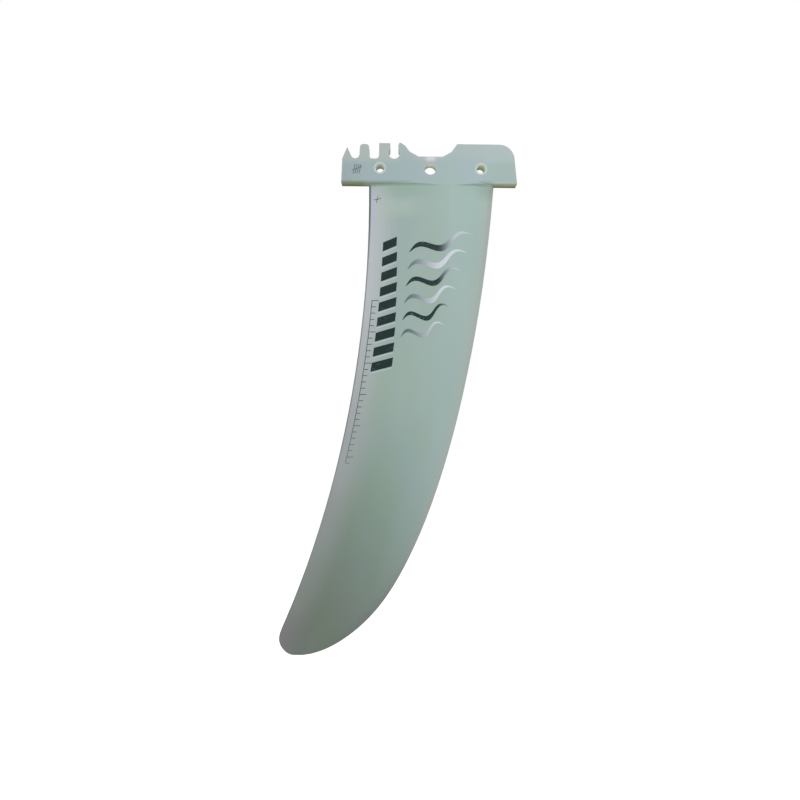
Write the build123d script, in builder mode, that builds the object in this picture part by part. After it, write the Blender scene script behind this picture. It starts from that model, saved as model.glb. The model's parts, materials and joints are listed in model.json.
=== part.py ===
"""Windsurf fin: a mounting head and a swept blade, moulded and machined as one piece of glass laminate.

Millimetres. +X points to the leading edge, +Y across the thickness and +Z up to the board.
The origin is where the bolt's bore meets the cross hole of its barrel nut.
"""

import math
import os

from build123d import *

# Head: the plate that fits up into the fin box.
head_thickness = 12.0
head_top = 19.7
head_foot = 11.4
head_front = 68.8
front_lean = 3.5
rear_lean = 1.0
nose_radius = 12.3
foot_corner_radius = 1.5
foot_edge_radius = 2.0
head_edge_radius = 0.8
comb_edge_chamfer = 0.25

# Saddle: the recess in the top of the head, alike in front of the bolt and behind it.
saddle_height = 9.5
saddle_floor_length = 19.0
saddle_knee_length = 32.8
saddle_knee_height = 13.2
saddle_mouth_length = 42.0

# Holes: the barrel nut's cross hole, the bolt's bore and the two pin holes.
nut_hole_diameter = 9.4
nut_hole_chamfer = 0.4
bolt_bore_diameter = 6.5
pin_hole_diameter = 6.4
pin_hole_chamfer = 1.0
pin_hole_spacing = 80.0

# Comb: three notches through the top of the head, behind the saddle.
front_notch = 28.8
front_notch_pitch = 16.0
rear_notch_pitch = 14.9
notch_floor = 7.5
rear_notch_radius = 3.4
rear_notch_front_flare = 3.0
rear_notch_rear_flare = 25.0
middle_notch_width = 7.9
middle_notch_corner = 2.6
front_notch_radius = 4.6
front_notch_neck = 6.4

# Teeth beside the notches: their tips are worn, each in its own way, to a drop below the top of the head.
rear_tooth_reach = 10.9
rear_tooth_tip = 0.4
rear_tooth_drop = 3.7
rear_shoulder_drop = 12.7
second_tooth_drop = 0.9
second_tooth_corner = 2.4
horn_rise = 0.8
horn_chip = 2.2
horn_bevel = 1.2
horn_foot = 20.5
horn_foot_drop = 1.5

# Blade: how far forward its two edges lie, by depth below the foot of the head.
blade_depth = 377.1
leading_edge = {0: 50.9, 80: 43.2, 160: 29.8, 240: 9.3, 300: -14.2, 340: -38.9, 366: -68.3, 374.5: -86.0}
trailing_edge = {0: -48.7, 60: -49.4, 150: -57.8, 250: -78.1}
tip_bottom = -102.4
tip_corner_radius = 14.0
tip_corner_turn = 67.0

# Foil: its sections are symmetric, thickest towards the front and thinner towards the tip.
crest_share = 0.35
tip_thickness_share = 0.07
trailing_thickness = 1.2
root_flare_radius = 2.0
root_flare_turn = 75.0
tip_land = 0.3
blade_stations = 18
flare_stations = 4

half_thickness = head_thickness / 2
foot_level = -head_foot
tip_level = foot_level - blade_depth
middle_notch = front_notch + front_notch_pitch
rear_notch = middle_notch + rear_notch_pitch
rear_seat_height = notch_floor + rear_notch_radius
head_rear = rear_notch + rear_tooth_reach
rear_tooth_height = head_top - rear_tooth_drop
rear_shoulder_height = head_top - rear_shoulder_drop
second_tooth_height = head_top - second_tooth_drop
horn_height = head_top + horn_rise
horn_face = front_notch - front_notch_neck / 2
root_thickness_share = head_thickness / (leading_edge[0] - trailing_edge[0])
flare_turn = math.radians(root_flare_turn)
flare_height = root_flare_radius * math.sin(flare_turn)


def rear_notch_wall(flare, level):
    """Return how far from the rear notch's middle its wall lies, which leaves the floor at a tangent."""
    turn = math.radians(flare)
    return rear_notch_radius / math.cos(turn) + (level - rear_seat_height) * math.tan(turn)


def edge_points(distances):
    """Return the side-view points of a blade edge from its distances at each depth."""
    return [(forward, foot_level - depth) for depth, forward in distances.items()]


def forward_at(outline, level):
    """Return how far forward a side-view outline lies at one level."""
    level_line = Axis((0, 0, level), (1, 0, 0))
    crossings = [point for edge in outline.edges() for point in edge.find_intersection_points(level_line)]
    return crossings[0].X


def foil_section(level, flare=0.0):
    """Return the foil's face at one level, its nose forward and both its sides moved out by the flare."""
    leading = forward_at(leading_outline, level)
    trailing = forward_at(trailing_outline, level)
    chord = leading - trailing
    depth_share = (foot_level - level) / blade_depth
    thickness_share = root_thickness_share * (1 - depth_share) + tip_thickness_share * depth_share
    thickness = chord * thickness_share
    half_crest = thickness / 2 + flare
    half_tail = min(trailing_thickness, thickness) / 2 + flare
    nose = crest_share * chord
    crest = leading - nose
    tail_third = (chord - nose) / 3
    with BuildSketch(Plane.XY.offset(level)) as section:
        with BuildLine():
            front = EllipticalCenterArc((crest, 0), nose, half_crest, 0, arc_size=90)
            back = Bezier(
                (crest, half_crest),
                (crest - tail_third, half_crest),
                (crest - 2 * tail_third, (half_crest + half_tail) / 2),
                (trailing, half_tail),
            )
            mirror([front, back], about=Plane.XZ)
            Line((trailing, half_tail), (trailing, -half_tail))
        make_face()
    return section.sketch.face()


# Side view of the blade's two edges, which meet at the bottom of the tip.
tip_corner = (tip_bottom, tip_level + tip_corner_radius)
corner_turn = math.radians(tip_corner_turn)
corner_start = (
    tip_corner[0] - tip_corner_radius * math.sin(corner_turn),
    tip_corner[1] + tip_corner_radius * math.cos(corner_turn),
)
with BuildLine(Plane.XZ) as leading_outline:
    Spline(*edge_points(leading_edge), (tip_bottom, tip_level))
with BuildLine(Plane.XZ) as trailing_outline:
    Spline(*edge_points(trailing_edge), corner_start)
    CenterArc(tip_corner, tip_corner_radius, 90 + tip_corner_turn, 180 - tip_corner_turn)

with BuildPart() as blade:
    # The body of the blade, with stations that crowd together towards the rounded tip.
    body_depth = blade_depth - flare_height - tip_land
    sections = []
    for station in range(blade_stations + 1):
        drop = body_depth * math.sin(math.pi / 2 * station / blade_stations)
        sections.append(foil_section(foot_level - flare_height - drop))
    loft(sections)

    # The round fillet that spreads the root out into the foot of the head.
    sections = []
    for station in range(flare_stations + 1):
        turn = flare_turn * station / flare_stations
        level = foot_level - flare_height + root_flare_radius * math.sin(turn)
        sections.append(foil_section(level, root_flare_radius * (1 - math.cos(turn))))
    loft(sections)
    extrude(sections[-1], amount=foot_edge_radius)

    # Where the root is as thick as the head, it ends flush with the head's faces.
    split(bisect_by=Plane.XZ.offset(half_thickness), keep=Keep.BOTTOM)
    split(bisect_by=Plane.XZ.offset(-half_thickness), keep=Keep.TOP)

with BuildPart() as fin:
    with BuildSketch(Plane.XZ) as head_outline:
        # The plate, with its teeth still joined and their worn tips along the top.
        shoulder_lean = rear_lean * (head_foot + rear_shoulder_height) / (head_foot + head_top)
        rear_tooth_face = rear_notch + rear_notch_wall(rear_notch_rear_flare, rear_tooth_height)
        with BuildLine():
            Polyline(
                (head_front, -head_foot),
                (head_front - front_lean, head_top),
                (-horn_foot, head_top),
                (-horn_foot, head_top - horn_foot_drop),
                (horn_bevel - horn_face, horn_height),
                (-horn_face, horn_height - horn_chip),
                (-front_notch, horn_height - horn_chip),
                (-front_notch, head_top),
                (-middle_notch, head_top),
                (-middle_notch, second_tooth_height),
                (-rear_notch, second_tooth_height),
                (-rear_notch, rear_tooth_height),
                (-rear_tooth_face - rear_tooth_tip, rear_tooth_height),
                (-head_rear + shoulder_lean, rear_shoulder_height),
                (-head_rear, -head_foot),
                close=True,
            )
        make_face()

        # The saddle, which makes room for the bolt and its washer.
        with BuildLine():
            Polyline(
                (saddle_mouth_length / 2, head_top),
                (saddle_knee_length / 2, saddle_knee_height),
                (saddle_floor_length / 2, saddle_height),
                (-saddle_floor_length / 2, saddle_height),
                (-saddle_knee_length / 2, saddle_knee_height),
                (-horn_foot, head_top - horn_foot_drop),
                (-horn_foot, head_top),
                close=True,
            )
        make_face(mode=Mode.SUBTRACT)

        # The front notch is a round seat under a narrower neck.
        with Locations((-front_notch, notch_floor + front_notch_radius)):
            Circle(front_notch_radius, mode=Mode.SUBTRACT)
            Rectangle(front_notch_neck, horn_height, align=(Align.CENTER, Align.MIN), mode=Mode.SUBTRACT)

        # The middle notch has straight walls and a flat floor.
        with Locations((-middle_notch, notch_floor)):
            Rectangle(middle_notch_width, horn_height, align=(Align.CENTER, Align.MIN), mode=Mode.SUBTRACT)
        floor_corners = head_outline.vertices().filter_by_position(
            Axis.X, -middle_notch - middle_notch_width, -middle_notch + middle_notch_width
        )
        fillet(floor_corners.group_by(Axis.Y)[0], middle_notch_corner)

        # The rear notch has a round floor, and its rear wall is worn back to a slope.
        with BuildLine():
            floor_turn = 180 - rear_notch_front_flare - rear_notch_rear_flare
            floor_middle = (-rear_notch, rear_seat_height)
            floor = CenterArc(floor_middle, rear_notch_radius, 180 + rear_notch_rear_flare, floor_turn)
            Polyline(
                floor @ 1,
                (-rear_notch + rear_notch_wall(rear_notch_front_flare, horn_height), horn_height),
                (-rear_notch - rear_notch_wall(rear_notch_rear_flare, horn_height), horn_height),
                floor @ 0,
            )
        make_face(mode=Mode.SUBTRACT)

        # Rounded corners: the nose, the two ends of the foot and the second tooth's tip.
        corners = head_outline.vertices()
        fillet(corners.sort_by_distance((head_front, head_top))[0], nose_radius)
        fillet(corners.sort_by_distance((head_front, -head_foot))[0], foot_corner_radius)
        fillet(corners.sort_by_distance((-head_rear, -head_foot))[0], foot_corner_radius)
        second_tooth = head_outline.vertices().filter_by_position(Axis.X, -rear_notch, -middle_notch)
        fillet(second_tooth.group_by(Axis.Y)[-1], second_tooth_corner)
    extrude(amount=half_thickness, both=True)

    # The comb and the saddle only lose their sharpness. The plate's ends and front top are rounded.
    comb_base = rear_shoulder_height / 2
    outlines = fin.faces().filter_by(Axis.Y).edges()
    comb_and_saddle = outlines.filter_by_position(Axis.X, -head_rear, saddle_mouth_length / 2)
    chamfer(comb_and_saddle.filter_by_position(Axis.Z, comb_base, horn_height), comb_edge_chamfer)
    outlines = fin.faces().filter_by(Axis.Y).edges()
    fillet(outlines.filter_by_position(Axis.Z, -2 * head_foot, comb_base), head_edge_radius)

    # The two long edges of the foot are rounded more, from end to end.
    with BuildSketch(Plane.YZ) as head_section:
        with Locations((0, -head_foot)):
            Rectangle(head_thickness, head_foot + horn_height, align=(Align.CENTER, Align.MIN))
        fillet(head_section.vertices().group_by(Axis.Y)[0], foot_edge_radius)
    extrude(amount=2 * head_rear, both=True, mode=Mode.INTERSECT)

    # The barrel nut's hole runs right through and only loses its sharpness.
    cross_hole = Location((0, 0, 0), (90, 0, 0))
    with Locations(cross_hole):
        Hole(nut_hole_diameter / 2)
    chamfer(fin.edges(Select.LAST).filter_by(GeomType.CIRCLE), nut_hole_chamfer)

    # The two pin holes run through beside it, with countersunk rims.
    with Locations(cross_hole):
        with GridLocations(pin_hole_spacing, pin_hole_spacing, 2, 1):
            Hole(pin_hole_diameter / 2)
    chamfer(fin.edges(Select.LAST).filter_by(GeomType.CIRCLE), pin_hole_chamfer)

    # The bolt's bore comes down from the saddle and ends in the barrel nut's hole.
    with Locations((0, 0, saddle_height)):
        Hole(bolt_bore_diameter / 2, depth=saddle_height)

    add(blade.part)

fin.part.label = "fin"
os.makedirs("parts", exist_ok=True)
export_step(fin.part, "parts/fin.step")
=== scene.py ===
"""Looks of a windsurf fin: one block of glass and resin laminate, with thin prints on its right side."""

import json
import logging
import math
from collections.abc import Callable, Mapping
from dataclasses import dataclass, field
from enum import Enum
from typing import Any

import bmesh
import bpy
from mathutils import Matrix, Vector
from mathutils.bvhtree import BVHTree


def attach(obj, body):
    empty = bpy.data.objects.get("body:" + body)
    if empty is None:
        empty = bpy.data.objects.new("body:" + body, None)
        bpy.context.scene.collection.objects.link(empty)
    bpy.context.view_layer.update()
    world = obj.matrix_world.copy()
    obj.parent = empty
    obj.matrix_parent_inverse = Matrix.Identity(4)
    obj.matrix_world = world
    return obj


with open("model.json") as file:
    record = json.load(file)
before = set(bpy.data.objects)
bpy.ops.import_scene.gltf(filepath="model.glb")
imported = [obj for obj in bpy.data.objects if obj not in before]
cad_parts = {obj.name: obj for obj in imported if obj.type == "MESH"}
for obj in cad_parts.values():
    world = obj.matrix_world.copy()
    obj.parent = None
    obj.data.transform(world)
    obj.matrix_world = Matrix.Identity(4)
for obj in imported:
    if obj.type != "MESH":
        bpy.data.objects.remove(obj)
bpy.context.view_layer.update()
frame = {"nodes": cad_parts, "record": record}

MM = 0.001
FULL_TURN = 2 * math.pi
SCREEN_WHITE = 255
SCREEN_KNEE, SCREEN_SLOPE, SCREEN_OFFSET, SCREEN_POWER = 0.04045, 12.92, 0.055, 2.4
log = logging.getLogger("windsurf_fin")

Triple = tuple[float, float, float]
Colour = Triple
Point = tuple[float, float]
Span = tuple[float, float]
Edges = tuple[float, ...]
Outline = Callable[[float, float], Point]


def paint(red: int, green: int, blue: int) -> Colour:
    """Turn a colour as a screen shows it into the linear one that a shader works with.

    Args:
        red: Red from 0 to 255.
        green: Green from 0 to 255.
        blue: Blue from 0 to 255.

    Returns:
        The linear colour.
    """
    def linear(share: float) -> float:
        """Return one part of the colour as a linear share."""
        curved = ((share + SCREEN_OFFSET) / (1 + SCREEN_OFFSET)) ** SCREEN_POWER
        return share / SCREEN_SLOPE if share <= SCREEN_KNEE else curved

    return linear(red / SCREEN_WHITE), linear(green / SCREEN_WHITE), linear(blue / SCREEN_WHITE)


class Blend(Enum):
    """How one colour goes over another, by the Mix node's names."""

    COVER = "MIX"
    STAIN = "MULTIPLY"


class Value:
    """A number that varies over a surface, on which arithmetic adds the shader's own nodes."""

    def __init__(self, graph: "Graph", socket: bpy.types.NodeSocket) -> None:
        """Wrap an output socket of a graph."""
        self.graph = graph
        self.socket = socket

    def _math(self, operation: str, *operands: "Value | float") -> "Value":
        """Add one Math node and return its output."""
        return self.graph.node("ShaderNodeMath", {"operation": operation}, dict(enumerate(operands)))

    def __add__(self, other: "Value | float") -> "Value":
        """Add a value or a number."""
        return self._math("ADD", self, other)

    def __radd__(self, other: float) -> "Value":
        """Add to a number."""
        return self._math("ADD", other, self)

    def __sub__(self, other: "Value | float") -> "Value":
        """Take away a value or a number."""
        return self._math("SUBTRACT", self, other)

    def __rsub__(self, other: float) -> "Value":
        """Take away from a number."""
        return self._math("SUBTRACT", other, self)

    def __mul__(self, other: "Value | float") -> "Value":
        """Multiply by a value or a number, where 1 adds no node."""
        return self if other == 1 else self._math("MULTIPLY", self, other)

    def __rmul__(self, other: float) -> "Value":
        """Multiply a number, where 1 adds no node."""
        return self if other == 1 else self._math("MULTIPLY", other, self)

    def __pow__(self, power: float) -> "Value":
        """Raise to a power."""
        return self._math("POWER", self, power)

    def __abs__(self) -> "Value":
        """Return the size without the sign."""
        return self._math("ABSOLUTE", self)

    def sine(self) -> "Value":
        """Return the sine, of radians."""
        return self._math("SINE", self)

    def most(self, other: "Value | float") -> "Value":
        """Return the larger of this and another."""
        return self._math("MAXIMUM", self, other)

    def rise(self, start: float, end: float) -> "Value":
        """Return a smooth step along this value.

        Args:
            start: Where the step is 0.
            end: Where it is 1, which may be below the start.

        Returns:
            The step, from 0 to 1.
        """
        limits = {"Value": self, "From Min": min(start, end), "From Max": max(start, end)}
        step = self.graph.node("ShaderNodeMapRange", {"interpolation_type": "SMOOTHSTEP"}, limits)
        return step if start <= end else 1 - step

    def over(self, gone: float, full: float, *far: float) -> "Value":
        """Return a soft mask over a zone along this value.

        Args:
            gone: Where the mask is 0.
            full: Where it is 1.
            far: For a zone with a far side, where the mask is last 1 and where it is 0 again.

        Returns:
            The mask, from 0 to 1.
        """
        near = self.rise(gone, full)
        return near * self.rise(*reversed(far)) if far else near


class Graph:
    """The shader nodes of one material or world.

    The Mix node's sockets for colours go by index, because other kinds of value share their names.
    """

    MIX_FACTOR, MIX_UNDER, MIX_OVER, MIX_RESULT = 0, 6, 7, 2

    def __init__(self, owner: bpy.types.Material | bpy.types.World) -> None:
        """Take a material or world and clear its nodes.

        Args:
            owner: The material or world.
        """
        owner.use_nodes = True
        self.owner = owner
        self.tree = owner.node_tree
        self.tree.nodes.clear()

    def node(
        self,
        kind: str,
        settings: Mapping[str, Any] | None = None,
        inputs: Mapping[int | str, Any] | None = None,
        output: int | str | None = 0,
    ) -> Value | None:
        """Add a node and return one of its outputs.

        Args:
            kind: Blender's name for the node.
            settings: The node's own settings, which are set first.
            inputs: Numbers, colours or values by the name or index of the socket that takes them.
            output: The name or index of the output to return, or None for a node that has none.

        Returns:
            The chosen output, or None.
        """
        made = self.tree.nodes.new(kind)
        for name, setting in (settings or {}).items():
            setattr(made, name, setting)
        for name, given in (inputs or {}).items():
            socket = made.inputs[name]
            if isinstance(given, Value):
                self.tree.links.new(given.socket, socket)
            elif socket.type == "RGBA":
                socket.default_value = (*given, 1.0)
            else:
                socket.default_value = given
        return None if output is None else Value(self, made.outputs[output])

    def place(self) -> Value:
        """Return the place on the piece in millimetres, which moves with it."""
        metres = self.node("ShaderNodeTexCoord", output="Object")
        return self.scaled(metres, (1 / MM, 1 / MM, 1 / MM))

    def scaled(self, vector: Value, factors: Triple) -> Value:
        """Return a vector with each of its three parts multiplied by its own factor."""
        return self.node("ShaderNodeVectorMath", {"operation": "MULTIPLY"}, {0: vector, 1: factors})

    def moved(self, vector: Value, offset: Triple) -> Value:
        """Return a vector with an offset added."""
        return self.node("ShaderNodeVectorMath", {"operation": "ADD"}, {0: vector, 1: offset})

    def part(self, vector: Value, axis: str) -> Value:
        """Return a vector's X, Y or Z."""
        return self.node("ShaderNodeSeparateXYZ", inputs={0: vector}, output=axis)

    def noise(self, vector: Value, size: float, detail: float = 2.0) -> Value:
        """Return soft noise from 0 to 1 over a vector, with patches of about a size."""
        inputs = {"Vector": vector, "Scale": 1 / size, "Detail": detail}
        return self.node("ShaderNodeTexNoise", {"normalize": True}, inputs)

    def blend(
        self,
        amount: Value | float,
        under: Value | Colour,
        over: Value | Colour,
        way: Blend = Blend.COVER,
    ) -> Value:
        """Lay one colour over another.

        Args:
            amount: How much of the upper colour shows, from 0 to 1.
            under: The lower colour.
            over: The upper colour.
            way: How they combine.

        Returns:
            The combined colour.
        """
        settings = {"data_type": "RGBA", "blend_type": way.value, "clamp_factor": True}
        inputs = {self.MIX_FACTOR: amount, self.MIX_UNDER: under, self.MIX_OVER: over}
        return self.node("ShaderNodeMix", settings, inputs, self.MIX_RESULT)

    def seen_directly(self) -> Value:
        """Tell what is seen from the light that falls on things.

        Returns:
            1 for what the camera sees, also in a reflection or through glass, and 0 for other light.
        """
        camera, glossy, through = (
            self.node("ShaderNodeLightPath", output=f"Is {ray} Ray")
            for ray in ("Camera", "Glossy", "Transmission")
        )
        return camera.most(glossy).most(through)

    def finish(self, shader: Value) -> bpy.types.Material | bpy.types.World:
        """Join a shader to the surface.

        Args:
            shader: The shader.

        Returns:
            The material or world.
        """
        world = isinstance(self.owner, bpy.types.World)
        kind = "ShaderNodeOutputWorld" if world else "ShaderNodeOutputMaterial"
        self.node(kind, inputs={"Surface": shader}, output=None)
        return self.owner


@dataclass(frozen=True)
class EdgeCurve:
    """An edge of the blade in side view, as points of level and distance forward in millimetres."""

    points: tuple[Point, ...]

    def _differences(self) -> list[float]:
        """Work out the curve that runs through all the points.

        Returns:
            The curve's divided differences.
        """
        levels = [level for level, _ in self.points]
        column = [forward for _, forward in self.points]
        found = [column[0]]
        for order in range(1, len(levels)):
            steps = zip(column, column[1:], levels, levels[order:])
            column = [(below - above) / (end - start) for above, below, start, end in steps]
            found.append(column[0])
        return found

    def at(self, level: "float | Value") -> Any:
        """Return how far forward the edge lies at a level.

        Args:
            level: The level, as one number or as a value over a surface.

        Returns:
            The distance forward of the bolt, as a number or a value to match.
        """
        *differences, forward = self._differences()
        for (known, _), difference in zip(self.points[-2::-1], reversed(differences)):
            forward = (level - known) * forward + difference
        return forward


MOUNTS = {mount["name"]: mount["dims"] for mount in frame["record"]["mounts"]}
PIN_REACH = MOUNTS["pin_holes"]["spacing_x_mm"] / 2
HEAD_HALF_THICKNESS = 6.0
FOOT_LEVEL = -11.4
TRAILING_EDGE = EdgeCurve(
    ((FOOT_LEVEL, -48.7), (-71.4, -49.4), (-161.4, -57.8), (-261.4, -78.1), (-369.0, -115.3))
)


class Skin:
    """Where a point of the fin's surface lies and which way it faces, for one material.

    Lengths are in millimetres: forward and sideways of the bolt's axis, level above the barrel nut's
    hole, inside of the trailing edge, reach fore or aft of the bolt, and off_pin from the axis of the
    nearer pin hole. Facings are parts of the unit normal: ahead, up, flat to a side, and tilt away
    from it. The masks head and cut are 1 on the head and on its machined faces.
    """

    HEAD_START: Span = (FOOT_LEVEL - 0.8, FOOT_LEVEL - 0.1)
    CUT_FACING: Span = (0.6, 0.4)

    def __init__(self, graph: Graph) -> None:
        """Measure the surface.

        Args:
            graph: The nodes of the material.
        """
        self.graph = graph
        self.place = graph.place()
        self.forward, self.sideways, self.level = (graph.part(self.place, axis) for axis in "XYZ")
        facing = graph.node("ShaderNodeTexCoord", output="Normal")
        self.ahead, aside, self.up = (graph.part(facing, axis) for axis in "XYZ")
        self.flat = abs(aside)
        self.tilt = (1 - self.flat * self.flat) ** 0.5
        self.inside = self.forward - TRAILING_EDGE.at(self.level)
        self.reach = abs(self.forward)
        off_pin = self.reach - PIN_REACH
        self.off_pin = (off_pin * off_pin + self.level * self.level) ** 0.5
        self.head = self.level.rise(*self.HEAD_START)
        self.cut = self.flat.rise(*self.CUT_FACING) * self.head


@dataclass(frozen=True)
class Tint:
    """A colour over one zone of the surface.

    A zone's edges along a measure of the skin are where the tint is gone and where it is full, and
    for a zone with a far side also where it is last full and where it is gone again.
    """

    colour: Colour
    strength: float = 1.0
    way: Blend = Blend.COVER
    forward: Edges = ()
    inside: Edges = ()
    reach: Edges = ()
    off_pin: Edges = ()
    level: Edges = ()
    ahead: Edges = ()
    up: Edges = ()
    tilt: Edges = ()

    def zone(self, skin: Skin) -> Value | float:
        """Work out where the tint shows.

        Args:
            skin: Where the surface lies and which way it faces.

        Returns:
            How much of the tint shows, from 0 to its strength.
        """
        spans = (
            (skin.forward, self.forward),
            (skin.inside, self.inside),
            (skin.reach, self.reach),
            (skin.off_pin, self.off_pin),
            (skin.level, self.level),
            (skin.ahead, self.ahead),
            (skin.up, self.up),
            (skin.tilt, self.tilt),
        )
        masks = (measure.over(*edges) for measure, edges in spans if edges)
        return math.prod(masks, start=self.strength)

    def lay(self, skin: Skin, under: Value | Colour, share: Value | float = 1.0) -> Value:
        """Lay the tint over a colour, or only a share of it."""
        return skin.graph.blend(self.zone(skin) * share, under, self.colour, self.way)


@dataclass(frozen=True)
class Clouds:
    """Soft patches in the laminate, drawn out along the span, which differ with their offset."""

    offset: float
    size: float = 34.0
    stretch: float = 2.6

    def at(self, skin: Skin) -> Value:
        """Return the patches, from 0 to 1."""
        along = skin.graph.scaled(skin.place, (1.0, 1.0, 1 / self.stretch))
        return skin.graph.noise(skin.graph.moved(along, (self.offset, 0.0, self.offset)), self.size)


@dataclass(frozen=True)
class BladeColour:
    """The blade's colour: green behind and teal in front, where a wandering line parts them.

    It is pale along the trailing edge with painted sheen and at the leading rim with a painted highlight,
    and darker towards the tip, partly the thinner laminate's tone and partly painted shade. It has painted
    shade on the flare, at the front of the root and along the trailing edge, and a painted highlight under
    the root.
    """

    green: Colour = paint(157, 179, 168)
    teal: Colour = paint(161, 184, 180)
    parting: Span = (32, 72)
    wander: Clouds = Clouds(0.0)
    drift: float = 88.0
    lavender: Tint = Tint(paint(162, 180, 185), 0.5)
    lavender_clouds: Clouds = Clouds(210.0)
    lavender_share: Span = (0.45, 0.72)
    root_front: Tint = Tint(paint(147, 176, 170), inside=(50, 90), level=(-115, -60))
    # painted sheen: a pale band along the trailing edge, with its own tints by level
    trailing_sheen: Colour = paint(195, 199, 207)
    trailing_sheen_tints: tuple[Tint, ...] = (
        Tint(paint(184, 187, 193), level=(-95, -150, -200, -248)),
        Tint(paint(193, 197, 217), level=(-65, -25), inside=(6.5, 3.5)),
        Tint(paint(201, 209, 219), level=(-265, -305)),
    )
    trailing_sheen_edges: Span = (26, 1)
    trailing_sheen_strength: float = 0.95
    # painted highlight on the leading edge's rim, where it faces forward
    leading_rim_highlight: Tint = Tint(paint(173, 184, 177), 0.8, ahead=(0.10, 0.32))
    # darker towards the tip: partly the thinner laminate's tone, partly painted shade
    thinning: Colour = (0.353, 0.357, 0.305)
    thin_shade_edges: Span = (120, 345)
    thin_shade_slant: float = -0.95
    # painted shade: the middle of the lower blade, the tip, the tip's edges and its rear corner
    tip_shades: tuple[Tint, ...] = (
        Tint((0.91, 0.97, 0.92), way=Blend.STAIN, inside=(20, 36, 52, 76), level=(-170, -230, -305, -350)),
        Tint((0.94, 0.92, 0.87), way=Blend.STAIN, level=(-310, -372)),
        Tint((0.86, 0.76, 0.88), way=Blend.STAIN, tilt=(0.06, 0.32), level=(-295, -370)),
        Tint((0.84, 0.75, 0.87), way=Blend.STAIN, inside=(34, 8), level=(-340, -374)),
    )
    # painted highlight: a pale patch just under the root
    root_highlight: Tint = Tint(paint(182, 202, 188), 0.45, inside=(4, 14, 26, 48), level=(-20, -27, -31, -42))
    root_shade: Tint = Tint((0.92, 0.99, 0.91), way=Blend.STAIN, level=(-25, -17))
    root_shade_fades: Span = (38, 62)
    root_shade_front: float = 0.5
    # painted shadow of the head at the front of the root
    root_corner_shadow: Tint = Tint((0.80, 0.81, 0.81), way=Blend.STAIN, inside=(80, 93), level=(-29, -15))
    # painted shade on the flare where it faces down
    flare_shade: Tint = Tint(
        paint(124, 147, 126), 0.9, up=(-0.15, -0.75), level=(FOOT_LEVEL - 12, FOOT_LEVEL - 6)
    )
    # painted shade: a dark line along the trailing edge, wider at the root
    edge_shade: Colour = paint(52, 60, 58)
    edge_shade_width: Span = (1.4, 0.5)
    edge_shade_least: float = 0.10
    edge_shade_above_tip: Span = (-290, -200)
    edge_shade_above_tip_share: float = 0.5
    edge_shade_at_root: Span = (-95, -30)
    edge_shade_at_root_share: float = 0.35
    edge_shade_at_root_spread: float = 0.5

    def at(self, skin: Skin) -> Value:
        """Work out the colour.

        Args:
            skin: Where the surface lies and which way it faces.

        Returns:
            The blade's colour.
        """
        graph, inside = skin.graph, skin.inside
        wander = (self.wander.at(skin) - 0.5) * self.drift
        colour = graph.blend((inside + wander).rise(*self.parting), self.green, self.teal)
        colour = self.lavender.lay(skin, colour, self.lavender_clouds.at(skin).rise(*self.lavender_share))
        colour = self.root_front.lay(skin, colour)
        # painted sheen along the trailing edge
        trailing_sheen = self.trailing_sheen
        for tint in self.trailing_sheen_tints:
            trailing_sheen = tint.lay(skin, trailing_sheen)
        colour = graph.blend(inside.rise(*self.trailing_sheen_edges) * self.trailing_sheen_strength, colour, trailing_sheen)
        # painted highlight on the leading rim
        colour = self.leading_rim_highlight.lay(skin, colour)
        # darker towards the tip, partly the thinner laminate's tone and partly painted shade
        thin = (self.thin_shade_slant * inside - skin.level).rise(*self.thin_shade_edges)
        colour = graph.blend(thin, colour, self.thinning, Blend.STAIN)
        # painted shade towards the tip, then the painted highlight under the root
        for tint in (*self.tip_shades, self.root_highlight):
            colour = tint.lay(skin, colour)
        shade = 1 - (1 - self.root_shade_front) * inside.rise(*self.root_shade_fades)
        colour = self.root_shade.lay(skin, colour, shade)
        # painted shadow at the front of the root and painted shade on the flare
        for tint in (self.root_corner_shadow, self.flare_shade):
            colour = tint.lay(skin, colour)
        # painted shade along the trailing edge
        return graph.blend(self._edge_shade(skin), colour, self.edge_shade)

    def _edge_shade(self, skin: Skin) -> Value:
        """Work out the painted shade along the trailing edge: wider at the root, and hardly any at the tip.

        Args:
            skin: Where the surface lies and which way it faces.

        Returns:
            How much of the painted shade shows, from 0 to 1.
        """
        at_root = skin.level.rise(*self.edge_shade_at_root)
        above_tip = skin.level.rise(*self.edge_shade_above_tip)
        amount = self.edge_shade_least + self.edge_shade_above_tip_share * above_tip + self.edge_shade_at_root_share * at_root
        return (skin.inside - self.edge_shade_at_root_spread * at_root).rise(*self.edge_shade_width) * amount


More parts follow.
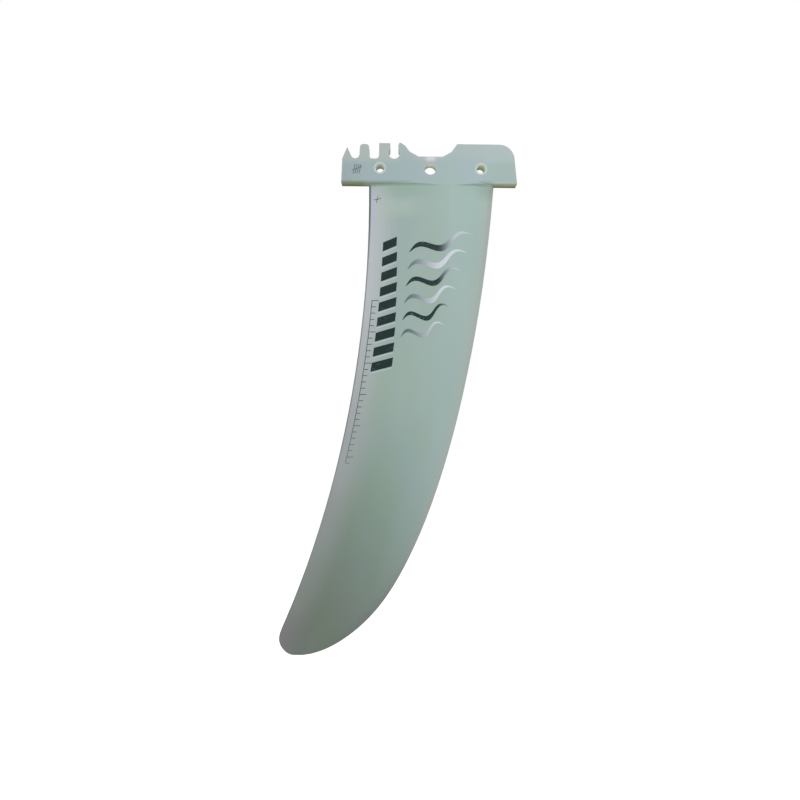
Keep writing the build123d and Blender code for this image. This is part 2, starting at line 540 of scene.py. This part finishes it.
@dataclass(frozen=True)
class HeadColour:
    """The colour of the head's flat sides.

    They are cloudy and paler at the comb's teeth. The pin holes' rims are paler, partly the cut laminate's
    tone and partly painted highlight. Over the barrel nut, where the wall between its hole and the saddle
    is thin, is a painted glow of light shining through it.
    """

    middle: Colour = paint(154, 183, 176)
    cloud: Colour = paint(159, 179, 184)
    clouds: Clouds = Clouds(90.0)
    cloud_share: Span = (0.42, 0.62)
    tints: tuple[Tint, ...] = (
        Tint(paint(172, 185, 185), 0.6, level=(2, 18)),
        Tint(paint(150, 173, 168), 0.7, forward=(32, 56), level=(8, 2)),
        Tint(paint(169, 183, 188), 0.5, forward=(38, 50), level=(4.7, 5.3)),
        Tint(paint(154, 170, 175), 0.7, forward=(-50, -70), level=(9, 1)),
        Tint(paint(180, 188, 186), 0.75, forward=(-22, -28), level=(3, 7.5)),
        # painted light shining through the thin wall over the barrel nut
        Tint(paint(188, 188, 195), 0.6, reach=(15, 5), level=(5.0, 8.5)),
        Tint(paint(216, 218, 224), reach=(5.5, 1.5), level=(4.0, 8.0)),
        # pale pin hole rims: partly the cut laminate's paler tone, partly painted highlight
        Tint(paint(232, 240, 240), 0.8, off_pin=(5.0, 4.2)),
    )

    def at(self, skin: Skin) -> Value:
        """Work out the colour.

        Args:
            skin: Where the surface lies and which way it faces.

        Returns:
            The colour of the head's sides.
        """
        clouds = self.clouds.at(skin).rise(*self.cloud_share)
        colour = skin.graph.blend(clouds, self.middle, self.cloud)
        for tint in self.tints:
            colour = tint.lay(skin, colour)
        return colour


@dataclass(frozen=True)
class MachinedFaces:
    """The head's machined faces: sawn edges with ply lines, the foot's underside and the holes' walls.

    The foot and the walls darken with their depth behind the right side, which is painted shade, and the
    walls of the holes and the bolt's bore carry painted light shining through the laminate.
    """

    sawn: Colour = paint(214, 219, 212)
    ply_line: Colour = paint(176, 186, 168)
    ply_pitch: float = 0.3
    ply_strength: float = 0.12
    ply_patches: float = 4.0
    ply_patch_strength: float = 0.3
    # painted shade: the foot and the holes' walls darken towards the far side
    depth: Span = (-HEAD_HALF_THICKNESS, 4.0)
    near_foot: Colour = paint(142, 156, 120)
    far_foot_shade: Colour = paint(97, 105, 78)
    front_near_foot: Colour = paint(182, 196, 158)
    front_far_foot_shade: Colour = paint(112, 118, 76)
    foot_front: Span = (35, 55)
    foot_front_strength: float = 0.9
    crease: Colour = paint(156, 180, 162)
    blade_middle: float = 1.1
    blade_ends: Span = (58, 48)
    crease_evenness: float = 0.8
    below: Span = (-8.5, -9.5)
    facing_down: Span = (-0.15, -0.95)
    rounding_rear: Span = (48, 28)
    # the holes' pale walls: the cut laminate's tone and painted light shining through it
    hole_wall_and_glow: Colour = paint(232, 240, 230)
    deep_wall_shade: Colour = paint(188, 198, 180)
    front_hole: Tint = Tint((0.98, 1.0, 0.80), way=Blend.STAIN, forward=(20, 35))
    pin_hole: Span = (6.0, 5.0)
    nut_hole: Span = (7.0, 6.0)
    # painted light shining through the thin wall around the bolt's bore
    bore_wall_glow: Colour = paint(244, 250, 238)
    bore: Span = (3.9, 3.5)
    bore_bottom: Span = (2.0, 3.5)
    worn_edge: Colour = paint(202, 214, 210)
    edge_facing: Span = (0.97, 0.8)
    worn_foot: Tint = Tint(worn_edge, 0.65, up=(0.0, -0.45), forward=(42, 54))

    def over(self, skin: Skin, sides: Value) -> Value:
        """Lay the worn edges and the machined faces over the colour of the sides.

        Args:
            skin: Where the surface lies and which way it faces.
            sides: The colour of the sides.

        Returns:
            The finished colour.
        """
        graph = skin.graph
        deep = skin.sideways.rise(*self.depth)
        below = skin.level.rise(*self.below)
        underside = below * skin.up.rise(*self.facing_down)
        near_foot, foot = self._foot(skin, deep)
        cut = graph.blend(self._plies(skin), self.sawn, self.ply_line)
        cut = graph.blend(underside, cut, foot)
        cut = graph.blend(self._holes(skin), cut, self._walls(skin, deep))
        edges = skin.flat.rise(*self.edge_facing) * skin.head * (1 - below)
        colour = graph.blend(edges, sides, self.worn_edge)
        colour = graph.blend(underside * skin.forward.rise(*self.rounding_rear), colour, near_foot)
        colour = self.worn_foot.lay(skin, colour, below)
        colour = graph.blend(skin.cut, colour, cut)
        # painted light on the bolt bore's wall
        off_bolt = (skin.forward * skin.forward + skin.sideways * skin.sideways) ** 0.5
        bore = off_bolt.rise(*self.bore) * skin.level.rise(*self.bore_bottom)
        return graph.blend(bore, colour, self.bore_wall_glow)

    def _plies(self, skin: Skin) -> Value:
        """Return the lines of the plies that the saw has cut across, blurred in patches."""
        lines = (skin.sideways * (FULL_TURN / self.ply_pitch)).sine() * self.ply_strength
        return lines + skin.graph.noise(skin.place, self.ply_patches) * self.ply_patch_strength

    def _foot(self, skin: Skin, deep: Value) -> tuple[Value, Value]:
        """Work out the colours of the foot, which is lighter where the blade grows out of it.

        Args:
            skin: Where the surface lies and which way it faces.
            deep: How deep behind the right side a point is, from 0 to 1.

        Returns:
            The foot's colour at the right side and over its whole depth.
        """
        graph = skin.graph
        over_blade = abs(skin.forward - self.blade_middle).rise(*self.blade_ends)
        near = graph.blend(over_blade, self.near_foot, self.crease)
        # painted shade towards the far side of the foot
        rear = graph.blend(deep * (1 - self.crease_evenness * over_blade), near, self.far_foot_shade)
        front = graph.blend(deep, self.front_near_foot, self.front_far_foot_shade)
        in_front = skin.forward.rise(*self.foot_front) * self.foot_front_strength
        return near, graph.blend(in_front, rear, front)

    def _holes(self, skin: Skin) -> Value:
        """Return where the cross holes' walls are, as a mask."""
        nut = skin.reach.rise(*self.nut_hole) * skin.level.rise(*self.nut_hole)
        return skin.off_pin.rise(*self.pin_hole).most(nut)

    def _walls(self, skin: Skin, deep: Value) -> Value:
        """Return the colour of the cross holes' walls: pale with painted light, darker deeper in with
        painted shade, and yellower in the front hole.
        """
        return self.front_hole.lay(skin, skin.graph.blend(deep, self.hole_wall_and_glow, self.deep_wall_shade))


@dataclass(frozen=True)
class LaminateFinish:
    """Glass and resin laminate, with the relief of its cloth and faint sanding lines."""

    blade: BladeColour = BladeColour()
    head: HeadColour = HeadColour()
    faces: MachinedFaces = MachinedFaces()
    weave_low: Colour = paint(138, 160, 152)
    weave_high: Colour = paint(176, 198, 190)
    weave_strength: float = 0.10
    weave_pitch: float = 1.2
    scratch_width: float = 0.5
    scratch_length: float = 14.0
    scratch_share: Span = (0.5, 0.75)
    roughness: float = 0.36
    patch_roughness: float = 0.08
    patch_size: float = 9.0
    scratch_roughness: float = 0.1
    sawn_roughness: float = 0.45
    coat: float = 0.15
    coat_roughness: float = 0.2
    index: float = 1.5
    relief: float = 0.02
    relief_strength: float = 0.5

    def material(self) -> bpy.types.Material:
        """Build the laminate's material.

        Returns:
            The material.
        """
        graph = Graph(bpy.data.materials.new("glass_laminate"))
        skin = Skin(graph)
        weave, scratches = self._weave(skin), self._scratches(skin)
        colour = graph.blend(skin.head, self.blade.at(skin), self.head.at(skin))
        cloth = graph.blend(weave, self.weave_low, self.weave_high)
        colour = graph.blend(self.weave_strength, colour, cloth)
        patches = self.patch_roughness * graph.noise(skin.place, self.patch_size)
        wear = self.scratch_roughness * scratches + self.sawn_roughness * skin.cut
        bump = graph.node(
            "ShaderNodeBump",
            inputs={
                "Strength": self.relief_strength,
                "Distance": self.relief * MM,
                "Height": weave + scratches,
            },
        )
        surface = graph.node(
            "ShaderNodeBsdfPrincipled",
            inputs={
                "Base Color": self.faces.over(skin, colour),
                "Roughness": self.roughness + patches + wear,
                "Normal": bump,
                "IOR": self.index,
                "Coat Weight": self.coat * (1 - skin.cut),
                "Coat Roughness": self.coat_roughness,
            },
        )
        return graph.finish(surface)

    def _weave(self, skin: Skin) -> Value:
        """Return the relief of the glass cloth, from 0 to 1 across its crossing threads."""
        turn = FULL_TURN / self.weave_pitch
        return 0.5 + 0.5 * (skin.forward * turn).sine() * (skin.level * turn).sine()

    def _scratches(self, skin: Skin) -> Value:
        """Return faint sanding lines along the span, from 0 to 1."""
        lines = skin.graph.scaled(skin.place, (1 / self.scratch_width, 1.0, 1 / self.scratch_length))
        return skin.graph.noise(lines, 1.0).rise(*self.scratch_share)


class Ink(Enum):
    """The inks on the fin's right side."""

    DARK = "dark_ink"
    FAINT = "faint_ink"
    DARK_FOIL = "dark_foil"
    SILVER_FOIL = "silver_foil"
    SILVER = "silver_ink"
    PENCIL = "pencil"


@dataclass(frozen=True)
class InkFinish:
    """A thin print, worn through in specks down to the laminate.

    A foil turns from its colour behind to its glint in front, and a print may fade towards the tip.
    """

    colour: Colour
    glint: Colour | None = None
    glint_edges: Span = (-4.0, 12.0)
    slot: str = "dark_print"
    shine: float = 0.25
    roughness: float = 0.4
    patch_roughness: float = 0.1
    patch_size: float = 3.0
    bare: Colour = paint(150, 176, 168)
    wear: float = 0.5
    speck_size: float = 1.6
    speck_detail: float = 4.0
    speck_share: Span = (0.58, 0.7)
    worn_patch_size: float = 14.0
    worn_patch_share: Span = (0.35, 0.65)
    fade: float = 0.7
    fade_levels: Span = (-400.0, -500.0)

    def material(self, name: str) -> bpy.types.Material:
        """Build the ink's material.

        Args:
            name: The material's name.

        Returns:
            The material.
        """
        graph = Graph(bpy.data.materials.new(name))
        place = graph.place()
        specks = graph.noise(place, self.speck_size, self.speck_detail).rise(*self.speck_share)
        patches = graph.noise(place, self.worn_patch_size).rise(*self.worn_patch_share)
        fade = graph.part(place, "Z").rise(*self.fade_levels) * self.fade
        bare = fade + (1 - fade) * (specks * self.wear) * patches
        colour = self.colour
        if self.glint:
            colour = graph.blend(graph.part(place, "X").rise(*self.glint_edges), colour, self.glint)
        surface = graph.node(
            "ShaderNodeBsdfPrincipled",
            inputs={
                "Base Color": graph.blend(bare, colour, self.bare),
                "Roughness": self.roughness + self.patch_roughness * graph.noise(place, self.patch_size),
                "Specular IOR Level": self.shine,
            },
        )
        return graph.finish(surface)


INK_FINISHES = {
    Ink.DARK: InkFinish(paint(8, 36, 36), wear=0.35),
    Ink.FAINT: InkFinish(paint(66, 90, 84), wear=0.6, fade_levels=(-170.0, -300.0)),
    Ink.DARK_FOIL: InkFinish(paint(12, 42, 42), glint=paint(196, 206, 216), glint_edges=(6.0, 22.0)),
    Ink.SILVER_FOIL: InkFinish(
        paint(96, 112, 114),
        glint=paint(214, 222, 232),
        glint_edges=(-20.0, 12.0),
        slot="silver_print",
        wear=0.3,
    ),
    Ink.SILVER: InkFinish(paint(200, 208, 214), slot="silver_print", wear=0.35),
    Ink.PENCIL: InkFinish(paint(78, 93, 96), roughness=0.6, wear=0.7),
}


class RightSide:
    """The skin of the fin's right side, onto which prints are laid."""

    RAY_START = -50.0

    def __init__(self, fin: bpy.types.Object) -> None:
        """Take the skin of the fin."""
        self.skin = BVHTree.FromObject(fin, bpy.context.evaluated_depsgraph_get())

    def point(self, forward: float, level: float, lift: float) -> Vector:
        """Return a point on the skin.

        Args:
            forward: The distance forward in millimetres.
            level: The level in millimetres.
            lift: How far the point stands off the skin in millimetres.

        Returns:
            The point in metres.
        """
        start = Vector((forward, self.RAY_START, level)) * MM
        touched, _, _, _ = self.skin.ray_cast(start, Vector((0, 1, 0)))
        if touched is None:
            raise ValueError(f"a print runs off the fin at {forward:.1f}, {level:.1f}")
        return touched - Vector((0, lift * MM, 0))


@dataclass
class Print:
    """One mesh of ink: thin closed plates that follow the fin's skin."""

    side: RightSide
    ink: Ink
    lift: float = 0.06
    sink: float = 0.05
    grain: float = 1.5
    sharp_angle: float = 40.0
    points: list[Vector] = field(default_factory=list)
    faces: list[tuple[int, ...]] = field(default_factory=list)

    def plate(self, outline: Outline, length: float, width: float) -> None:
        """Add one plate.

        Args:
            outline: Gives the side view of the plate for shares of its length and width.
            length: About how long it is in millimetres.
            width: About how wide it is in millimetres.
        """
        columns = max(1, math.ceil(length / self.grain))
        rows = max(1, math.ceil(width / self.grain))
        first = len(self.points)
        for lift in (self.lift, -self.sink):
            for column in range(columns + 1):
                for row in range(rows + 1):
                    self.points.append(self.side.point(*outline(column / columns, row / rows), lift))

        def corner(layer: int, column: int, row: int) -> int:
            """Return the number of a point of the plate."""
            return first + (layer * (columns + 1) + column) * (rows + 1) + row

        for column in range(columns):
            for row in range(rows):
                for layer in (0, 1):
                    square = (
                        corner(layer, column, row),
                        corner(layer, column + 1, row),
                        corner(layer, column + 1, row + 1),
                        corner(layer, column, row + 1),
                    )
                    self.faces.append(square if layer else square[::-1])
        rim = [(column, 0) for column in range(columns)]
        rim += [(columns, row) for row in range(rows)]
        rim += [(column, rows) for column in range(columns, 0, -1)]
        rim += [(0, row) for row in range(rows, 0, -1)]
        for here, there in zip(rim, rim[1:] + rim[:1]):
            self.faces.append((corner(0, *here), corner(0, *there), corner(1, *there), corner(1, *here)))

    def build(self, name: str) -> bpy.types.Object:
        """Turn the plates into a piece that rides with the fin.

        Args:
            name: The piece's name.

        Returns:
            The finished piece.
        """
        mesh = bpy.data.meshes.new(name)
        mesh.from_pydata(self.points, [], self.faces)
        work = bmesh.new()
        work.from_mesh(mesh)
        bmesh.ops.recalc_face_normals(work, faces=work.faces)
        work.to_mesh(mesh)
        work.free()
        mesh.shade_smooth()
        mesh.set_sharp_from_angle(angle=math.radians(self.sharp_angle))
        finish = INK_FINISHES[self.ink]
        mesh.materials.append(finish.material(name))
        piece = bpy.data.objects.new(name, mesh)
        bpy.context.collection.objects.link(piece)
        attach(piece, "root")
        log.info("%s: %d faces of %s", name, len(mesh.polygons), self.ink.value)
        return piece


@dataclass
class SpeedBars:
    """A row of slanted bars down the trailing side, each with a silver hairline under it."""

    count: int = 9
    top: float = -58.0
    pitch: float = 12.0
    inset: float = 12.0
    first_length: float = 11.0
    last_length: float = 17.0
    height: float = 7.2
    rise: float = 4.5
    hairline: float = 0.7
    hairline_gap: float = 0.8

    def _length(self, number: int) -> float:
        """Return how long a bar is."""
        return self.first_length + (self.last_length - self.first_length) * number / (self.count - 1)

    def _bar(self, number: int, drop: float, height: float) -> Outline:
        """Return the side view of one bar or hairline.

        Args:
            number: The bar's number from the top.
            drop: How far below the bar's top it starts, in millimetres.
            height: How high it is in millimetres.

        Returns:
            The side view.
        """
        top = self.top - number * self.pitch - drop
        length = self._length(number)

        def outline(along: float, down: float) -> Point:
            """Return a point of the bar.

            Args:
                along: The share of its length.
                down: The share of its height, from the top.

            Returns:
                The distance forward and the level.
            """
            level = top + along * self.rise - down * height
            back = TRAILING_EDGE.at(level - along * self.rise) + self.inset
            return back + along * length, level

        return outline

    def build(self, side: RightSide) -> list[bpy.types.Object]:
        """Build the bars and their hairlines.

        Args:
            side: The side of the fin that takes them.

        Returns:
            The bars and the hairlines.
        """
        bars, hairlines = Print(side, Ink.DARK), Print(side, Ink.SILVER)
        below = self.height + self.hairline_gap
        for number in range(self.count):
            length = self._length(number)
            bars.plate(self._bar(number, 0.0, self.height), length, self.height)
            hairlines.plate(self._bar(number, below, self.hairline), length, self.hairline)
        return [bars.build("speed_bars"), hairlines.build("speed_bar_hairlines")]


@dataclass
class SwellLines:
    """Wave-shaped strokes in the middle of the blade, dark and silver by turns."""

    count: int = 6
    top: float = -66.0
    pitch: float = 13.5
    back: float = -16.0
    back_step: float = 1.2
    first_length: float = 52.0
    last_length: float = 36.0
    amplitude: float = 3.8
    waves: float = 1.5
    tilt: float = 16.0
    thickness: float = 5.2
    thinning: float = 0.3
    tip: float = 0.25
    swell_power: float = 0.8

    def _stroke(self, number: int) -> tuple[Outline, float, float]:
        """Shape one stroke.

        Args:
            number: The stroke's number from the top.

        Returns:
            Its side view, length and thickness.
        """
        share = number / (self.count - 1)
        length = self.first_length + (self.last_length - self.first_length) * share
        thickness = self.thickness - self.thinning * number
        tilt = math.radians(self.tilt)
        back, top = self.back - number * self.back_step, self.top - number * self.pitch

        def outline(along: float, across: float) -> Point:
            """Return a point of the stroke.

            Args:
                along: The share of its length.
                across: The share of its thickness, from the top.

            Returns:
                The distance forward and the level.
            """
            body = self.tip + (thickness - self.tip) * math.sin(math.pi * along ** self.swell_power)
            wave = self.amplitude * math.sin(FULL_TURN * self.waves * along) + (0.5 - across) * body
            forward = along * length * math.cos(tilt) - wave * math.sin(tilt)
            up = along * length * math.sin(tilt) + wave * math.cos(tilt)
            return back + forward, top + up

        return outline, length, thickness

    def build(self, side: RightSide) -> list[bpy.types.Object]:
        """Build the strokes.

        Args:
            side: The side of the fin that takes them.

        Returns:
            The dark strokes and the silver ones.
        """
        dark, silver = Print(side, Ink.DARK_FOIL), Print(side, Ink.SILVER_FOIL)
        for number in range(self.count):
            (silver if number % 2 else dark).plate(*self._stroke(number))
        return [dark.build("swell_lines_dark"), silver.build("swell_lines_silver")]


@dataclass
class TickRule:
    """A plain scale of ticks along the trailing edge."""

    top: float = -104.0
    bottom: float = -234.0
    inset: float = 6.0
    line: float = 0.55
    pitch: float = 5.0
    tick: float = 3.2
    long_tick: float = 5.0
    long_every: int = 5

    def build(self, side: RightSide) -> list[bpy.types.Object]:
        """Build the scale.

        Args:
            side: The side of the fin that takes it.

        Returns:
            The scale.
        """
        rule = Print(side, Ink.FAINT)
        reach = self.top - self.bottom

        def spine(along: float, across: float) -> Point:
            """Return a point of the long line."""
            level = self.top - along * reach
            return TRAILING_EDGE.at(level) + self.inset + across * self.line, level

        rule.plate(spine, reach, self.line)
        for number in range(round(reach / self.pitch) + 1):
            level = self.top - number * self.pitch
            tick = self.tick if number % self.long_every else self.long_tick
            start = TRAILING_EDGE.at(level) + self.inset + self.line

            def mark(along: float, across: float) -> Point:
                """Return a point of the tick."""
                return start + along * tick, level - across * self.line

            rule.plate(mark, tick, self.line)
        return [rule.build("tick_rule")]


@dataclass
class PencilMarks:
    """Plain pencil marks at the rear: a tally of five on the head and a small cross on the blade."""

    tally: Point = (-61.4, -4.6)
    strokes: int = 4
    spacing: float = 1.5
    height: float = 7.4
    lean: float = 1.3
    slash: tuple[Point, Point] = ((-62.2, -1.6), (-54.2, 1.2))
    cross: tuple[tuple[Point, Point], ...] = (
        ((-44.6, -23.6), (-38.9, -22.4)),
        ((-41.0, -20.8), (-42.2, -26.4)),
    )
    width: float = 0.45
    bow: float = 0.3

    def _stroke(self, start: Point, end: Point) -> tuple[Outline, float, float]:
        """Shape one stroke.

        Args:
            start: Where it starts, as the distance forward and the level.
            end: Where it ends.

        Returns:
            Its side view, length and width.
        """
        reach = Vector(end) - Vector(start)
        across = Vector((reach.y, -reach.x)).normalized()

        def outline(along: float, over: float) -> Point:
            """Return a point of the stroke.

            Args:
                along: The share of its length.
                over: The share of its width.

            Returns:
                The distance forward and the level.
            """
            bow = self.bow * math.sin(math.pi * along)
            point = Vector(start) + reach * along + across * (bow + over * self.width)
            return point.x, point.y

        return outline, reach.length, self.width

    def build(self, side: RightSide) -> list[bpy.types.Object]:
        """Build the marks.

        Args:
            side: The side of the fin that takes them.

        Returns:
            The tally and the cross.
        """
        back, low = self.tally
        starts = [(back + number * self.spacing, low) for number in range(self.strokes)]
        lines = [(start, (start[0] + self.lean, low + self.height)) for start in starts]
        tally, cross = Print(side, Ink.PENCIL), Print(side, Ink.PENCIL)
        for line in (*lines, self.slash):
            tally.plate(*self._stroke(*line))
        for line in self.cross:
            cross.plate(*self._stroke(*line))
        return [tally.build("pencil_tally"), cross.build("pencil_cross")]


@dataclass
class Fin:
    """The fin: its laminate body from the frame and the prints on its right side."""

    body: bpy.types.Object
    finish: LaminateFinish = LaminateFinish()

    def dress(self) -> None:
        """Give the body its finish and lay on the prints."""
        self.body.material_slots[0].material = self.finish.material()
        log.info("fin: %d faces of laminate", len(self.body.data.polygons))
        side = RightSide(self.body)
        for motif in (SpeedBars(), SwellLines(), TickRule(), PencilMarks()):
            motif.build(side)


@dataclass(frozen=True)
class Lamp:
    """A soft round lamp: its place and aim in metres, its width and its power in watts."""

    place: Triple
    aim: Triple
    size: float
    power: float
    colour: Colour


@dataclass
class Studio:
    """A pale floor, even light all round that shows as white, soft lamps and the camera."""

    camera_place: Triple = (-0.02193, -0.500, -0.18333)
    camera_roll: float = 0.68
    camera_near: float = 0.01
    lens: float = 28.125
    sensor: float = 36.0
    ambient: float = 0.55
    floor_level: float = -0.60
    floor_reach: float = 6.0
    floor_paint: Colour = (0.8, 0.8, 0.8)
    floor_glow: float = 0.58
    white: Colour = (1.0, 1.0, 1.0)
    lamps: dict[str, Lamp] = field(
        default_factory=lambda: {
            "key_lamp": Lamp((0.40, -1.05, 0.42), (0.0, 0.0, -0.12), 0.8, 5.0, (1.0, 1.0, 0.98)),
            "fill_lamp": Lamp((-0.80, -0.60, -0.10), (0.0, 0.0, -0.15), 0.9, 0.8, (1.0, 0.99, 0.97)),
            "back_lamp": Lamp((-0.20, 1.15, 0.25), (0.0, 0.0, -0.15), 0.9, 4.0, (1.0, 1.0, 1.0)),
        }
    )

    def _camera(self) -> None:
        """Set the camera level with the middle of the blade, rolled a little as the photo is."""
        data = bpy.data.cameras.new("camera")
        data.lens = self.lens
        data.sensor_width = self.sensor
        data.clip_start = self.camera_near
        camera = bpy.data.objects.new("camera", data)
        bpy.context.collection.objects.link(camera)
        roll = math.radians(self.camera_roll)
        right = Vector((math.cos(roll), 0, math.sin(roll)))
        up = Vector((-math.sin(roll), 0, math.cos(roll)))
        turn = Matrix((right, up, right.cross(up))).transposed()
        camera.matrix_world = Matrix.LocRotScale(Vector(self.camera_place), turn, None)
        bpy.context.scene.camera = camera

    def _world(self) -> None:
        """Surround the fin with even light, which shows as white."""
        bpy.context.scene.world = bpy.data.worlds.new("studio")
        graph = Graph(bpy.context.scene.world)
        strength = self.ambient + (1 - self.ambient) * graph.seen_directly()
        light = {"Color": self.white, "Strength": strength}
        graph.finish(graph.node("ShaderNodeBackground", inputs=light))

    def _floor(self) -> None:
        """Lay a white floor that takes the fin's soft shadow."""
        reach = self.floor_reach
        corners = [(-reach, -reach), (reach, -reach), (reach, reach), (-reach, reach)]
        points = [(across, along, self.floor_level) for across, along in corners]
        mesh = bpy.data.meshes.new("floor")
        mesh.from_pydata(points, [], [(0, 1, 2, 3)])
        graph = Graph(bpy.data.materials.new("studio_floor"))
        plain = graph.node("ShaderNodeBsdfDiffuse", inputs={"Color": self.floor_paint})
        strength = self.floor_glow * graph.seen_directly()
        glow = graph.node("ShaderNodeEmission", inputs={"Color": self.white, "Strength": strength})
        both = graph.node("ShaderNodeAddShader", inputs={0: plain, 1: glow})
        mesh.materials.append(graph.finish(both))
        floor = bpy.data.objects.new("floor", mesh)
        bpy.context.collection.objects.link(floor)

    def _hang(self, name: str, lamp: Lamp) -> None:
        """Hang one lamp.

        Args:
            name: The lamp's name.
            lamp: What it is like and where it hangs.
        """
        data = bpy.data.lights.new(name, "AREA")
        data.shape = "DISK"
        data.size = lamp.size
        data.energy = lamp.power
        data.color = lamp.colour
        light = bpy.data.objects.new(name, data)
        bpy.context.collection.objects.link(light)
        place, aim = Vector(lamp.place), Vector(lamp.aim)
        turn = (aim - place).to_track_quat("-Z", "Y")
        light.matrix_world = Matrix.LocRotScale(place, turn, None)

    def build(self) -> None:
        """Set the camera, the world, the floor and the lamps."""
        bpy.context.scene.view_settings.view_transform = "Standard"
        self._camera()
        self._world()
        self._floor()
        for name, lamp in self.lamps.items():
            self._hang(name, lamp)
        log.info("studio: %d lamps", len(self.lamps))


def main() -> None:
    """Dress the fin and set up the studio around it."""
    logging.basicConfig(level=logging.INFO, format="%(message)s")
    Fin(frame["nodes"]["fin"]).dress()
    Studio().build()


if __name__ == "__main__":
    main()
